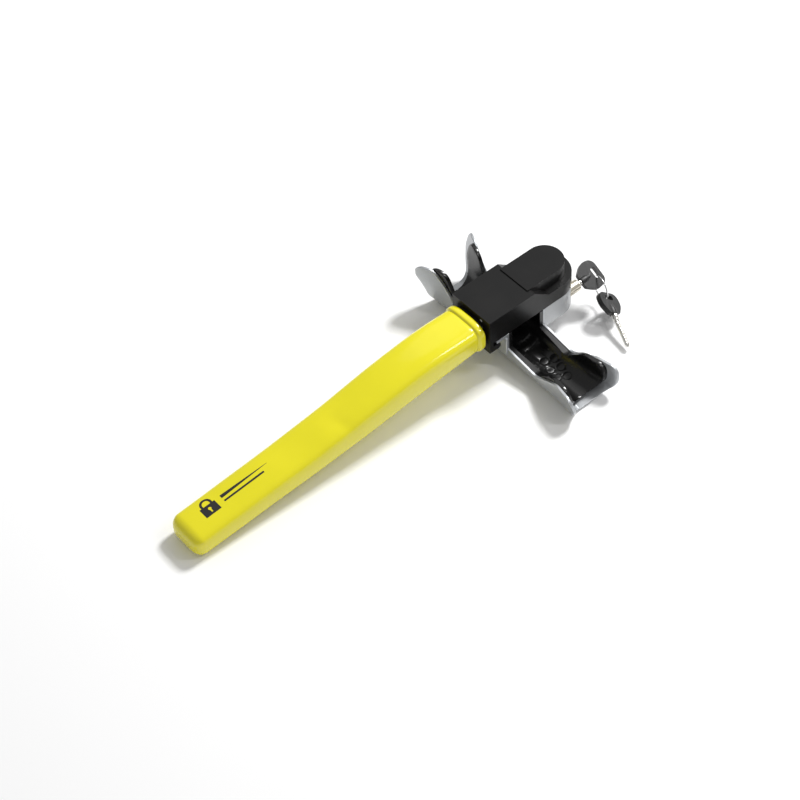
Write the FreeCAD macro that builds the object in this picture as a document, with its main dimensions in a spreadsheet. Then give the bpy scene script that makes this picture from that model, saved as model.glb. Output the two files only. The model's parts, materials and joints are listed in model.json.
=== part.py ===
"""Rotary-arm steering wheel lock: a rubber-lined cradle for the rim, a swinging hook head and a key lock.

Frame: origin on the rim seat's axis, midway under the head. X runs from the handle to the pivot,
Y along the rim seat, Z up. All sizes are millimetres.
"""
import FreeCAD, Part
import Sketcher
import math
import os
import re

from FreeCAD import Placement, Rotation, Vector

doc = FreeCAD.newDocument("steering_lock")

# ---------------------------------------------------------------- driving dimensions
DIMENSIONS = [
    ("rim_radius", 19.0, "rim seat, liner surface"),
    ("liner_wall", 4.3, "rubber under the rim"),
    ("steel", 3.0, "cradle plate"),
    ("cradle_corner", 16.0, "outer bend of the cradle's bottom edges"),
    ("flat_near", 64.0, "straight length of the cradle towards -Y"),
    ("flat_far", 54.0, "straight length of the cradle towards +Y"),
    ("reach_near", 132.0, "tip of the ears towards -Y"),
    ("reach_far", 102.5, "tip of the ears towards +Y"),
    ("ear_flare", 11.0, "how far an ear leans out at its tip"),
    ("ear_top", 7.4, "height of the near ears, which the arm swings over"),
    ("ear_top_far", 30.5, "height of the far ears"),
    ("wall_dip", -9.5, "wall top where the near ears start"),
    ("wall_dip_far", -2.0, "wall top where the far ears start"),
    ("wall_step", -2.5, "wall top beside the head"),
    ("wall_top", 19.2, "wall top under the head"),
    ("liner_end", 12.0, "bare steel left beyond the liner"),
    ("head_half", 28.0, "half width of the head"),
    ("head_back", -49.1, "handle side of the head block"),
    ("head_front", 11.9, "pivot side of the head block"),
    ("head_low", 20.3, "underside of the head"),
    ("head_high", 52.0, "top of the head block"),
    ("plate_high", 37.0, "top of the head's pivot plate"),
    ("gusset_run", 19.5, "length of the slope between block and pivot plate"),
    ("leg_wall", 4.8, "thickness of the hook's leg"),
    ("hook_low", 8.0, "underside of the hook"),
    ("lip_high", 15.0, "top of the hook's lip"),
    ("lip_tip", -34.6, "tip of the hook's lip"),
    ("catch_low", 15.6, "underside of the catch flange"),
    ("catch_edge", -39.3, "outer edge of the catch flange"),
    ("pivot_x", 50.8, "pivot axis"),
    ("pivot_radius", 8.0, "pivot pin"),
    ("bush_wall", 2.0, "pivot bush wall"),
    ("running_gap", 0.05, "radial clearance of shafts that turn"),
    ("cover_half", 20.5, "half width of the pivot cover"),
    ("cover_back", 8.4, "end of the cover's tongue on the block"),
    ("cover_high", 53.2, "top of the pivot cover"),
    ("housing_high", 20.0, "top of the lock housing"),
    ("housing_low", -7.7, "underside of the lock housing"),
    ("base_wall", 3.0, "closing plate of the housing"),
    ("base_inset", 4.0, "rim left around the closing plate"),
    ("lock_y", -17.0, "key axis"),
    ("lock_z", 7.0, "height of the key axis"),
    ("cylinder_radius", 6.5, "lock cylinder"),
    ("cylinder_back", 44.6, "inner end of the lock cylinder"),
    ("cylinder_front", 81.3, "outer end of the lock cylinder"),
    ("plug_radius", 5.0, "turning plug"),
    ("cam_crank", 3.5, "offset of the cam's crank pin"),
    ("crank_radius", 1.25, "crank pin"),
    ("bolt_x", 37.2, "lock bolt axis"),
    ("bolt_radius", 4.0, "lock bolt"),
    ("bolt_low", -1.6, "lower end of the bolt"),
    ("bolt_high", 19.6, "upper end of the bolt when withdrawn"),
    ("bolt_bite", 6.0, "depth of the bolt holes in the head"),
    ("swing", 110.0, "opening angle of the arm, degrees"),
    ("blade_radius", 2.75, "key blade"),
    ("shoulder_radius", 3.5, "key shoulder"),
    ("blade_length", 33.0, "key tip to shoulder"),
    ("shoulder_length", 7.0, "key shoulder"),
    ("grip_length", 25.0, "moulded key head"),
    ("grip_half", 16.5, "half width of the key head"),
    ("grip_neck", 8.0, "half width of the key head at the shoulder"),
    ("grip_thick", 5.6, "thickness of the key head"),
    ("grip_bar", 3.4, "bar outside the key head's slot"),
    ("slot_width", 5.4, "slot across the key"),
    ("slot_half", 6.5, "half length of the slot"),
    ("key_tip", 47.0, "tip of the key in the lock"),
    ("tang_radius", 2.2, "key blade inside the moulded head"),
    ("ring_radius", 14.0, "key ring, to the wire's middle"),
    ("wire_radius", 0.8, "key ring wire"),
    ("mouth", -52.6, "mouth of the handle sleeve"),
    ("bead_length", 8.0, "bead round the sleeve's mouth"),
    ("bead_height", 1.8, "bead over the sleeve"),
    ("sleeve_wall", 5.8, "vinyl over the arm bar"),
    ("bar_wall", 3.0, "wall of the arm's tube"),
    ("neck_half", 20.0, "half width of the arm tube"),
    ("tenon_end", -18.0, "inner end of the tube in the head"),
]

sizes = doc.addObject("Spreadsheet::Sheet", "sizes")
for row, (alias, amount, note) in enumerate(DIMENSIONS, start=1):
    sizes.set(f"A{row}", alias)
    sizes.set(f"B{row}", str(amount))
    sizes.set(f"C{row}", note)
    sizes.setAlias(f"B{row}", alias)
doc.recompute()

ALIASES = {alias for alias, _, _ in DIMENSIONS}
PIECES = []

# outlines of the arm along its length: X, top, bottom and half width of the vinyl sleeve
ARM_STATIONS = [
    ("mouth", 45.4, 12.6, 25.2),
    (-85.0, 45.6, 10.2, 25.2),
    (-115.0, 44.6, 7.6, 25.0),
    (-150.0, 40.8, 3.8, 24.7),
    (-190.0, 34.6, -0.4, 24.3),
    (-230.0, 27.8, -4.0, 23.8),
    (-270.0, 22.6, -6.9, 23.4),
    (-315.0, 18.6, -10.0, 23.0),
    (-360.0, 14.9, -12.8, 22.7),
    (-408.8, 10.8, -15.6, 22.4),
]


def linked(text):
    """An expression with the names of dimensions turned into references to the sheet."""
    def refer(word):
        return f"sizes.{word.group()}" if word.group() in ALIASES else word.group()
    return re.sub(r"[a-z_]+", refer, str(text))


def number(text):
    """The value of an expression in the sheet's dimensions."""
    return float(sizes.evalExpression(linked(text)))


def bind(thing, prop, text):
    thing.setExpression(prop, linked(text))


def move(thing, x="0", y="0", z="0"):
    for axis, text in zip("xyz", (x, y, z)):
        bind(thing, f"Placement.Base.{axis}", text)


def piece(thing, label):
    """Name a finished sub-part."""
    thing.Label = label
    PIECES.append(thing)
    return thing


# ---------------------------------------------------------------- solids
def box(x, y, z, name="block"):
    """A block between pairs of expressions along X, Y and Z."""
    solid = doc.addObject("Part::Box", name)
    for prop, (low, high) in zip(("Length", "Width", "Height"), (x, y, z)):
        bind(solid, prop, f"{high} - ({low})")
    move(solid, x[0], y[0], z[0])
    return solid


TURN = {
    "x": Rotation(Vector(0, 1, 0), 90),
    "y": Rotation(Vector(1, 0, 0), -90),
    "z": Rotation(),
}


def rod(axis, radius, start, end, at, name="rod"):
    """A cylinder along an axis from start to end; at holds the other two coordinates in X, Y, Z order."""
    solid = doc.addObject("Part::Cylinder", name)
    bind(solid, "Radius", radius)
    bind(solid, "Height", f"{end} - ({start})")
    solid.Placement = Placement(Vector(), TURN[axis])
    across = iter(at)
    move(solid, *[start if letter == axis else next(across) for letter in "xyz"])
    return solid


def cone(axis, radius_start, radius_end, start, end, at, name="cone"):
    solid = doc.addObject("Part::Cone", name)
    bind(solid, "Radius1", radius_start)
    bind(solid, "Radius2", radius_end)
    bind(solid, "Height", f"{end} - ({start})")
    solid.Placement = Placement(Vector(), TURN[axis])
    across = iter(at)
    move(solid, *[start if letter == axis else next(across) for letter in "xyz"])
    return solid


def fuse(shapes, name="fuse"):
    joined = doc.addObject("Part::MultiFuse", name)
    joined.Shapes = shapes
    joined.Refine = True
    return joined


def group(shapes, name="group"):
    """Separate solids kept together."""
    held = doc.addObject("Part::Compound", name)
    held.Links = shapes
    return held


def cut(base, tools, name="cut"):
    """Take each tool from the base in turn."""
    for tool in tools:
        result = doc.addObject("Part::Cut", name)
        result.Base, result.Tool = base, tool
        base = result
    result.Refine = True
    return result


def common(shapes, name="common"):
    shared = doc.addObject("Part::MultiCommon", name)
    shared.Shapes = shapes
    return shared


# ---------------------------------------------------------------- sketches
def plane(body, role):
    return [part for part in body.Origin.OriginFeatures if part.Role == role][0]


def sketch_in(body, role, offset="0"):
    """A sketch on one of the body's origin planes, moved along the plane's normal."""
    sketch = body.newObject("Sketcher::SketchObject", "outline")
    sketch.AttachmentSupport = [(plane(body, role), "")]
    sketch.MapMode = "FlatFace"
    bind(sketch, "AttachmentOffset.Base.z", offset)
    return sketch


def draw_outline(sketch, corners):
    """A closed outline of straight sides; each corner is (x, y) or (x, y, radius), all expressions.

    A rounded corner is a tangent arc, and a construction point holds the corner itself.
    """
    count = len(corners)
    spots = [Vector(number(corner[0]), number(corner[1]), 0) for corner in corners]
    starts, ends = [], []
    for index, corner in enumerate(corners):
        spot, before, after = spots[index], spots[index - 1], spots[(index + 1) % count]
        back, ahead = (before - spot).normalize(), (after - spot).normalize()
        reach = 0.0
        if len(corner) == 3:
            reach = number(corner[2]) / math.tan(back.getAngle(ahead) / 2)
        starts.append(spot + back * reach)
        ends.append(spot + ahead * reach)
    lines = [sketch.addGeometry(Part.LineSegment(ends[index], starts[(index + 1) % count]))
             for index in range(count)]
    rules, sized = [], []

    def rule(kind, *where, value=None):
        if value is None:
            rules.append(Sketcher.Constraint(kind, *where))
            return
        sized.append((len(rules), value))
        rules.append(Sketcher.Constraint(kind, *where, number(value)))

    for index, corner in enumerate(corners):
        before, after = lines[index - 1], lines[index]
        if len(corner) == 2:
            rule("Coincident", before, 2, after, 1)
            rule("DistanceX", -1, 1, after, 1, value=corner[0])
            rule("DistanceY", -1, 1, after, 1, value=corner[1])
            continue
        spot, radius = spots[index], number(corner[2])
        inward = (starts[index] + ends[index] - spot * 2).normalize()
        centre = spot + inward * math.hypot((starts[index] - spot).Length, radius)
        left_turn = (spot - starts[index]).cross(ends[index] - spot).z > 0
        rims = (starts[index], ends[index]) if left_turn else (ends[index], starts[index])
        angles = [math.atan2(rim.y - centre.y, rim.x - centre.x) for rim in rims]
        circle = Part.Circle(centre, Vector(0, 0, 1), radius)
        arc = sketch.addGeometry(Part.ArcOfCircle(circle, *angles))
        first, last = (1, 2) if left_turn else (2, 1)
        point = sketch.addGeometry(Part.Point(spot), True)
        rule("Tangent", before, 2, arc, first)
        rule("Tangent", arc, last, after, 1)
        rule("Radius", arc, value=corner[2])
        rule("PointOnObject", point, 1, before)
        rule("PointOnObject", point, 1, after)
        rule("DistanceX", -1, 1, point, 1, value=corner[0])
        rule("DistanceY", -1, 1, point, 1, value=corner[1])
    first_rule = sketch.ConstraintCount
    sketch.addConstraint(rules)
    for index, text in sized:
        sketch.setExpression(f"Constraints[{first_rule + index}]", linked(text))
    return sketch


def prism(role, corners, low, high, name="prism", holes=()):
    """A body with one outline padded between two heights along the plane's normal."""
    body = doc.addObject("PartDesign::Body", name)
    sketch = draw_outline(sketch_in(body, role, low), corners)
    for hole in holes:
        draw_outline(sketch, hole)
    pad = body.newObject("PartDesign::Pad", "pad")
    pad.Profile = sketch
    bind(pad, "Length", f"{high} - ({low})")
    return body


# ---------------------------------------------------------------- cradle and liner
HALF = "(rim_radius + liner_wall + steel)"
FLOOR = f"(-{HALF})"
WALL_LIMIT = "34"
STATIONS = (0.0, 0.4, 0.75, 1.0)


def trough_section(inset, flare):
    """Corners of a U-shaped block as seen along Y, inset from the cradle's outside."""
    half, low = f"{HALF} - {inset}", f"{FLOOR} + {inset}"
    top = f"{half} + {flare}"
    bend = f"cradle_corner - {inset}"
    return [(f"-({top})", WALL_LIMIT), (f"-({half})", low, bend), (half, low, bend), (top, WALL_LIMIT)]


def trough_form(inset, name):
    """The cradle's outer form, or with an inset the space inside it, with its ends flared."""
    body = doc.addObject("PartDesign::Body", name)
    middle = draw_outline(sketch_in(body, "XZ_Plane", "-flat_far"), trough_section(inset, "0"))
    pad = body.newObject("PartDesign::Pad", "straight")
    pad.Profile = middle
    bind(pad, "Length", "flat_far + flat_near")
    for sign, flat, reach in (("", "flat_near", "reach_near"), ("-", "flat_far", "reach_far")):
        profiles = []
        for share in STATIONS:
            spot = f"{sign}({flat} + {share} * ({reach} + 3 - {flat}))"
            flare = f"{share * share} * 1.6 * ear_flare"
            profiles.append(draw_outline(sketch_in(body, "XZ_Plane", spot), trough_section(inset, flare)))
        loft = body.newObject("PartDesign::AdditiveLoft", "ear")
        loft.Profile = profiles[0]
        loft.Sections = profiles[1:]
    return body


EARS = (
    ("-", "(flat_near + 6)", "reach_near", "30", "ear_top", "wall_dip", "20", "12"),
    ("", "flat_far", "reach_far", "21", "ear_top_far", "wall_dip_far", "14", "9.5"),
)
BLEND_RUN = "14"


def side_form(raised, inset, shorten, name):
    """The trough's outline seen along X: raised middle, dipped walls and round ears."""
    low, step = f"{FLOOR} - 1", f"(wall_step - {inset})"
    parts, wall_ends = [], []
    for sign, start, reach, run, high, dipped, rise_bend, tip_bend in EARS:
        tip, top, dip = f"({reach} - {shorten})", f"{high} - {inset}", f"({dipped} - {inset})"
        slope = f"{dip} + {BLEND_RUN} * ({step} - {dip}) / ({start} - head_half)"
        wall_ends.append((f"{sign}({start} - {BLEND_RUN})", slope))
        corners = [(f"{sign}({start} - {BLEND_RUN})", low), wall_ends[-1], (f"{sign}{start}", dip, "9"),
                   (f"{sign}({tip} - {run})", top, rise_bend), (f"{sign}({tip} - 3)", top, tip_bend),
                   (f"{sign}{tip}", f"{top} - 18", "14"), (f"{sign}({tip} - 13)", low)]
        parts.append(prism("YZ_Plane", corners, "-60", "60", "ear_side"))
    (near, near_high), (far, far_high) = wall_ends
    wall = [(near, low), (near, near_high), ("-head_half", step), ("head_half", step),
            (far, far_high), (far, low)]
    parts.append(prism("YZ_Plane", wall, "-60", "60", "wall_side"))
    if raised:
        parts.append(box(("-60", "60"), ("-head_half", "head_half"), (low, "wall_top")))
    return fuse(parts, name)


cradle_block = common([trough_form("0", "cradle_outside"), side_form(True, "0", "0", "cradle_side")])
WALL_SCREWS = [("-20", "6"), ("2", "0"), ("20", "6")]
wall_holes = [cone("x", "6.2", "3.2", f"{HALF} - steel - 0.1", f"{HALF} + 0.1", spot) for spot in WALL_SCREWS]
piece(cut(cradle_block, [trough_form("steel", "cradle_inside")] + wall_holes), "cradle")

lined = common([
    trough_form("steel", "liner_outside"),
    side_form(True, "0.8", "liner_end", "liner_side"),
])
seat_round = rod("y", "rim_radius", "-flat_near", "flat_far", ("0", "0"))
seat_open = box(("-rim_radius", "rim_radius"), ("-flat_near", "flat_far"), ("0", "40"))


def seat_end(sign, flat, reach, name):
    """The flared end of the space that the rim lies in."""
    body = doc.addObject("PartDesign::Body", name)
    profiles = []
    for share in STATIONS:
        spot = f"{sign}({flat} + {share} * ({reach} + 3 - {flat}))"
        top = f"rim_radius + {share * share} * 1.6 * ear_flare"
        bend = "rim_radius - 0.1"
        corners = [(f"-({top})", WALL_LIMIT), ("-rim_radius", "-rim_radius", bend),
                   ("rim_radius", "-rim_radius", bend), (top, WALL_LIMIT)]
        profiles.append(draw_outline(sketch_in(body, "XZ_Plane", spot), corners))
    loft = body.newObject("PartDesign::AdditiveLoft", "ear")
    loft.Profile = profiles[0]
    loft.Sections = profiles[1:]
    return body


def stud_ring(y, angle):
    """Ring groove round a flat stud on the seat, cut square to the rubber."""
    ring = cut(rod("z", "4.8", "-rim_radius - 0.7", "-rim_radius + 3", ("0", "0")),
               [rod("z", "4.2", "-rim_radius - 1", "-rim_radius + 4", ("0", "0"))])
    ring.Placement = Placement(Vector(0, y, 0), Rotation(Vector(0, 1, 0), angle))
    return ring


STUDS = [(0.3, -54.4), (9.1, -59.7), (-3.0, -67.0), (7.1, -72.0), (-4.3, -79.0), (3.9, -84.5),
         (-4.5, 36.0), (5.0, 41.0), (-4.5, 47.0), (5.0, 65.0), (-4.5, 71.0), (5.0, 77.0)]
stud_rings = [stud_ring(y, -math.degrees(math.asin(x / number("rim_radius")))) for x, y in STUDS]

PATCH = ("-33", "-18")
patch = common([
    cut(rod("y", "rim_radius + 0.6", *PATCH, ("0", "0")),
        [rod("y", "rim_radius + 0.61", f"{PATCH[0]} + 1.2", f"{PATCH[1]} - 1.2", ("0", "0"))]),
    box(("-6", "14"), PATCH, ("-25", "0")),
])
seat_space = [
    seat_round, seat_open,
    seat_end("", "flat_near", "reach_near", "seat_near"),
    seat_end("-", "flat_far", "reach_far", "seat_far"),
]
piece(cut(lined, seat_space + stud_rings + [patch]), "liner")

# ---------------------------------------------------------------- catch rail on the cradle's handle side
rail_arm = common([
    box(("catch_edge", f"-{HALF}"), ("-head_half", "head_half"), ("catch_low", "wall_top")),
    rod("z", "pivot_x - catch_edge + 4.1", "catch_low", "wall_top", ("pivot_x", "0")),
])
rail_foot = box((f"-{HALF} - 2", f"-{HALF}"), ("-head_half", "head_half"), ("-8", "catch_low"))
piece(fuse([rail_arm, rail_foot]), "catch_rail")

# ---------------------------------------------------------------- lock housing
def stadium(back, inset, low, high):
    """A block with a round end about the pivot axis."""
    half = f"head_half - {inset}"
    front = box(("pivot_x - 1", "pivot_x + 30"), ("-30", "30"), (low, high))
    return fuse([
        box((back, "pivot_x"), (f"-({half})", half), (low, high)),
        common([rod("z", half, low, high, ("pivot_x", "0")), front]),
    ])


BUSH = "pivot_radius + running_gap + bush_wall"
housing_block = stadium(HALF, "0", "housing_low", "housing_high")
base_pocket = stadium(f"{HALF} + base_inset", "base_inset", "housing_low - 1", "housing_low + base_wall")
pivot_bore = rod("z", BUSH, "housing_low", "housing_high + 1", ("pivot_x", "0"))
clip_pocket = rod("z", "12.5", "housing_low", "housing_low + base_wall + 3.6", ("pivot_x", "0"))
cylinder_bore = rod("x", "cylinder_radius", "40", "90", ("lock_y", "lock_z"))
cam_space = box(("bolt_x - 1", "cylinder_back"), ("lock_y - 6.3", "lock_y + 6.3"),
                ("lock_z - 6.3", "lock_z + 6.3"))
bolt_bore = rod("z", "bolt_radius + running_gap", "housing_low + base_wall", "housing_high + 1",
                ("bolt_x", "lock_y"))
wall_threads = [rod("x", "3", HALF, f"{HALF} + 9", spot) for spot in WALL_SCREWS if spot[0] != "-20"]
wall_threads.append(rod("x", "3", HALF, f"{HALF} + 5", WALL_SCREWS[0]))
BASE_SCREWS = [("36", "19"), ("46", "-20"), ("66", "14"), ("66", "-14")]
DEEP_SCREWS = (BASE_SCREWS[0], BASE_SCREWS[2])
base_threads = [rod("z", "1.5", "housing_low + base_wall",
                    f"housing_low + base_wall + {6.0 if spot in DEEP_SCREWS else 4.5}", spot)
                for spot in BASE_SCREWS]
grub_bore = rod("y", "1.5", "-head_half", "lock_y", ("56", "lock_z"))
housing_bores = [base_pocket, pivot_bore, clip_pocket, cylinder_bore, cam_space, bolt_bore, grub_bore]
piece(cut(housing_block, housing_bores + wall_threads + base_threads), "lock_housing")

base_holes = [cone("z", "3.1", "1.4", "housing_low", "housing_low + 2.2", spot) for spot in BASE_SCREWS]
base_holes += [rod("z", "1.6", "housing_low", "housing_low + base_wall", spot) for spot in BASE_SCREWS]
base_plate = stadium(f"{HALF} + base_inset", "base_inset", "housing_low", "housing_low + base_wall")
piece(cut(base_plate, base_holes), "housing_base")


def base_screw(spot, length):
    """Countersunk screw with a cross recess, driven up into the housing."""
    head = cone("z", "3.0", "1.5", "housing_low", "housing_low + 2.1", spot)
    shank = rod("z", "1.5", "housing_low + 2", length, spot)
    slots = [box((f"{spot[0]} - {half_x}", f"{spot[0]} + {half_x}"),
                 (f"{spot[1]} - {half_y}", f"{spot[1]} + {half_y}"),
                 ("housing_low - 1", "housing_low + 1.1")) for half_x, half_y in ((1.7, 0.3), (0.3, 1.7))]
    return cut(fuse([head, shank]), slots)


piece(group([base_screw(spot, f"housing_low + base_wall + {5.6 if spot in DEEP_SCREWS else 4.2}")
             for spot in BASE_SCREWS]), "base_screws")
piece(group([cut(fuse([cone("x", "6.0", "3.0", f"{HALF} - steel", HALF, spot),
                       rod("x", "3", f"{HALF} - 0.2",
                           f"{HALF} + {'4.6' if spot[0] == '-20' else '8.6'}", spot)]),
                 [rod("x", "1.6", f"{HALF} - steel - 1", f"{HALF} - steel + 1.6", spot)])
             for spot in WALL_SCREWS]), "wall_screws")
piece(rod("y", "1.5", "lock_y - cylinder_radius - 4", "lock_y - plug_radius - 0.6", ("56", "lock_z")),
      "cylinder_screw")

# ---------------------------------------------------------------- pivot
piece(cut(rod("z", BUSH, "housing_low + base_wall + 3.6", "housing_high", ("pivot_x", "0")),
          [rod("z", "pivot_radius + running_gap", "housing_low", "housing_high + 1", ("pivot_x", "0"))]),
      "pivot_bush")
PIN_LOW = "housing_low + base_wall + 0.4"
pin_shank = rod("z", "pivot_radius", PIN_LOW, "plate_high - 4", ("pivot_x", "0"))
pin_head = rod("z", "11", "plate_high - 4", "plate_high", ("pivot_x", "0"))
clip_groove = cut(rod("z", "pivot_radius + 1", f"{PIN_LOW} + 1", f"{PIN_LOW} + 2.2", ("pivot_x", "0")),
                  [rod("z", "pivot_radius - 0.9", f"{PIN_LOW}", f"{PIN_LOW} + 3", ("pivot_x", "0"))])
piece(cut(fuse([pin_shank, pin_head]), [clip_groove]), "pivot_pin")
piece(cut(rod("z", "11.6", f"{PIN_LOW} + 2.2", f"{PIN_LOW} + 3.1", ("pivot_x", "0")),
          [rod("z", "pivot_radius", PIN_LOW, f"{PIN_LOW} + 4", ("pivot_x", "0"))]), "pivot_washer")
piece(cut(rod("z", "10.6", f"{PIN_LOW} + 1", f"{PIN_LOW} + 2.2", ("pivot_x", "0")),
          [rod("z", "pivot_radius - 0.9", PIN_LOW, f"{PIN_LOW} + 4", ("pivot_x", "0")),
           box(("pivot_x + 2", "pivot_x + 14"), ("-3", "3"), (PIN_LOW, f"{PIN_LOW} + 4"))]), "pivot_circlip")

# ---------------------------------------------------------------- head
def head_form():
    """The head without its bores: block, pivot plate and the slope between them."""
    block = box(("head_back", "head_front"), ("-head_half", "head_half"), ("head_low", "head_high"))
    plate = stadium("head_front", "0", "head_low", "plate_high")
    gusset = prism("XZ_Plane", [("head_front - 1", "plate_high - 1"),
                                ("head_front + gusset_run", "plate_high - 1"),
                                ("head_front + gusset_run", "plate_high"), ("head_front", "head_high"),
                                ("head_front - 1", "head_high")],
                   "-head_half", "head_half", "gusset")
    return fuse([block, plate, gusset])


hook_leg = box(("head_back", "head_back + leg_wall"), ("-head_half", "head_half"),
               ("hook_low", "head_low + 1"))
hook_lip = prism("XZ_Plane", [("head_back", "hook_low"), ("lip_tip", "hook_low", "3"),
                              ("lip_tip", "lip_high", "2.6"), ("head_back", "lip_high")],
                 "-head_half", "head_half", "hook_lip")


def bolt_hole(angle):
    """The hole that the bolt meets once the head has swung by an angle in degrees."""
    turn = math.radians(-angle)
    along, across = number("bolt_x - pivot_x"), number("lock_y")
    spot = (f"pivot_x + {along * math.cos(turn) - across * math.sin(turn):.4f}",
            f"{along * math.sin(turn) + across * math.cos(turn):.4f}")
    return rod("z", "bolt_radius + 0.35", "head_low - 1", "head_low + bolt_bite", spot)


TENON_LOW, TENON_HIGH, TENON_HALF = "25", "43", "14"
tenon_socket = box(("head_back - 1", "tenon_end"), (f"-{TENON_HALF}", TENON_HALF), (TENON_LOW, TENON_HIGH))
ARM_PINS = [("-32", "-7"), ("-32", "7")]
COVER_PINS = [("40", "-13"), ("40", "13")]
head_bores = [rod("z", "3", "head_low - 1", "46", spot) for spot in ARM_PINS]
head_bores += [rod("z", "2", "plate_high - 6", "plate_high + 1", spot) for spot in COVER_PINS]
head_bores += [rod("z", "pivot_radius", "head_low - 1", "plate_high", ("pivot_x", "0")),
               rod("z", "11", "plate_high - 4", "plate_high + 1", ("pivot_x", "0"))]
head_bores += [bolt_hole(0), bolt_hole(number("swing")), tenon_socket]
piece(cut(fuse([head_form(), hook_leg, hook_lip]), head_bores), "head")

cover_block = stadium("cover_back", "(head_half - cover_half)", "plate_high", "cover_high")
piece(cut(cover_block, [head_form()] + [rod("z", "2", "plate_high - 1", "plate_high + 6", spot)
                                        for spot in COVER_PINS]), "pivot_cover")
piece(group([rod("z", "2", "plate_high - 5.6", "plate_high + 5.6", spot) for spot in COVER_PINS]),
      "cover_pins")
piece(group([rod("z", "3", "head_low + 0.6", "45.6", spot) for spot in ARM_PINS]), "arm_pins")

# ---------------------------------------------------------------- arm tube and vinyl sleeve
def arm_side(inset_top, inset_low, name, half, end_gap):
    """A prism with the arm's side outline, from the head's face to the handle's end."""
    back = [("head_back", "41.6 - " + inset_top), ("head_back", "16.4 + " + inset_low)]
    low = [(str(x), f"{bottom} + sleeve_wall + {inset_low}") for x, _, bottom, _ in ARM_STATIONS[1:-1]]
    high = [(str(x), f"{top} - sleeve_wall - {inset_top}") for x, top, _, _ in ARM_STATIONS[1:-1]]
    x, top, bottom, _ = ARM_STATIONS[-1]
    tip = [(f"{x} + sleeve_wall + {end_gap}", f"{bottom} + sleeve_wall + {inset_low} - 0.1"),
           (f"{x} + sleeve_wall + {end_gap}", f"{top} - sleeve_wall - {inset_top}")]
    return prism("XZ_Plane", back + low + tip + high[::-1], f"-({half})", half, name)


tube_outside = arm_side("0", "0", "tube_outside", "neck_half - 2.5", "1")
tube_inside = arm_side("bar_wall", "bar_wall", "tube_inside", "neck_half - 2.5 - bar_wall", "1 + bar_wall")
neck_plug = box(("head_back - 12", "head_back"), ("-(neck_half - 3)", "neck_half - 3"), ("17", "41"))
tenon = box(("head_back - 1", "tenon_end"), (f"-{TENON_HALF}", TENON_HALF), (TENON_LOW, TENON_HIGH))
tube = cut(tube_outside, [tube_inside])
piece(cut(fuse([tube, neck_plug, tenon]), [rod("z", "3", "10", "60", spot) for spot in ARM_PINS]), "arm_bar")


def sleeve_section(top, bottom, half, corner):
    return [(f"-({half})", top, corner), (f"-({half})", bottom, corner), (half, bottom, corner),
            (half, top, corner)]


def sleeve_loft():
    """The sleeve's outer form, lofted through rounded sections along the arm."""
    body = doc.addObject("PartDesign::Body", "sleeve_outside")
    profiles = []
    for x, top, bottom, half in ARM_STATIONS:
        corners = sleeve_section(str(top), str(bottom), str(half), f"{(top - bottom) * 0.36:.3f}")
        profiles.append(draw_outline(sketch_in(body, "YZ_Plane", x), corners))
    loft = body.newObject("PartDesign::AdditiveLoft", "handle")
    loft.Profile = profiles[0]
    loft.Sections = profiles[1:]
    return body


def sleeve_bead():
    x, top, bottom, half = ARM_STATIONS[0]
    corners = sleeve_section(f"{top} + bead_height", f"{bottom} - bead_height", f"{half} + bead_height",
                             f"{(top - bottom) * 0.36:.3f} + bead_height")
    return prism("YZ_Plane", corners, "mouth - bead_length", "mouth", "bead")


def rounded(base, radius, choose, name):
    """Round the edges whose middles a test picks."""
    doc.recompute()
    fillet = doc.addObject("Part::Fillet", name)
    fillet.Base = base
    fillet.Edges = [(index, radius, radius) for index, edge in enumerate(base.Shape.Edges, start=1)
                    if choose(edge.CenterOfMass, edge)]
    return fillet


handle_end = ARM_STATIONS[-1][0]
sleeve_tip = rounded(sleeve_loft(), 8.0, lambda middle, edge: edge.BoundBox.XMax < handle_end + 0.01, "tip")
bead = rounded(sleeve_bead(), 1.7, lambda middle, edge: edge.BoundBox.XLength < 0.01, "bead_round")
sleeve_core = arm_side("0", "0", "sleeve_core", "neck_half - 2.5", "1")
piece(cut(fuse([sleeve_tip, bead]), [sleeve_core]), "arm_sleeve")

# ---------------------------------------------------------------- lock cylinder, plug, cam and bolt
LOCK = ("lock_y", "lock_z")
piece(cut(rod("x", "cylinder_radius", "cylinder_back", "cylinder_front", LOCK),
          [rod("x", "plug_radius + running_gap", "cylinder_back - 1", "cylinder_front + 1", LOCK),
           rod("y", "1.5", "lock_y - cylinder_radius - 1", "lock_y - plug_radius - 0.6", ("56", "lock_z"))]),
      "lock_cylinder")
DISCS = 8
DISC_START, DISC_PITCH, DISC_WALL = 52.0, 3.0, 2.4
plug_cavity = rod("x", "4.3", "51", "77.5", LOCK)
key_way = rod("x", "blade_radius + running_gap", "46.4", "cylinder_front", LOCK)
key_mouth = rod("x", "shoulder_radius + 0.1", "79.6", "cylinder_front", LOCK)
bar_slot = box(("52", "76.5"), ("lock_y - 0.8", "lock_y + 0.8"), ("lock_z + 3", "lock_z + 6"))
cam_thread = rod("x", "1", "cylinder_back - 2", "46.2", LOCK)
piece(cut(rod("x", "plug_radius", "cylinder_back - 0.4", "cylinder_front - 0.3", LOCK),
          [plug_cavity, key_way, key_mouth, bar_slot, cam_thread]), "lock_plug")
piece(group([cut(rod("x", "4.25", f"{DISC_START + DISC_PITCH * place}",
                     f"{DISC_START + DISC_PITCH * place + DISC_WALL}", LOCK),
                 [rod("x", "blade_radius + running_gap", "40", "90", LOCK),
                  box(("50", "90"), ("lock_y - 0.8", "lock_y + 0.8"), ("lock_z + 3.6", "lock_z + 6"))])
             for place in range(DISCS)]), "lock_discs")
piece(box(("52.3", "76.2"), ("lock_y - 0.7", "lock_y + 0.7"), ("lock_z + 3.7", "lock_z + 4.8")), "side_bar")

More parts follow.
